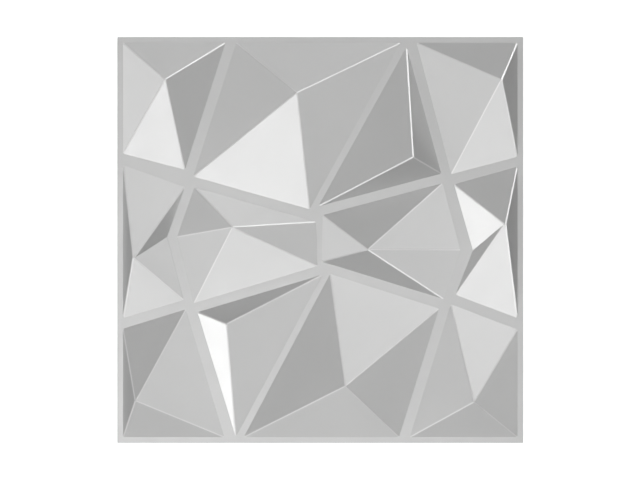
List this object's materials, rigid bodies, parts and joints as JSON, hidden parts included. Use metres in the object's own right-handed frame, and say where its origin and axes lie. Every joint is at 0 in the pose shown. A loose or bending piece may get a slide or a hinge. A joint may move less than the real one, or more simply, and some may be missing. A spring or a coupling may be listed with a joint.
{
  "type": "3d wall panel tile",
  "caption": "Square formed wall tile with raised, hollow, many-sided pyramids between flat bands, and a flat border that butts to the next tile.",
  "frame": {"origin": "centre of the tile's flat back, in the plane that is glued to the wall", "axes": "+Z out of the wall towards the room, +Y up and +X to the right as the tile hangs, seen from the room"},
  "size_m": [0.5, 0.5, 0.03],
  "materials": {
    "wall_tile": "satin off-white"
  },
  "bodies": {
    "root": {"wall_tile": "wall_tile"}
  },
  "joints": []
}
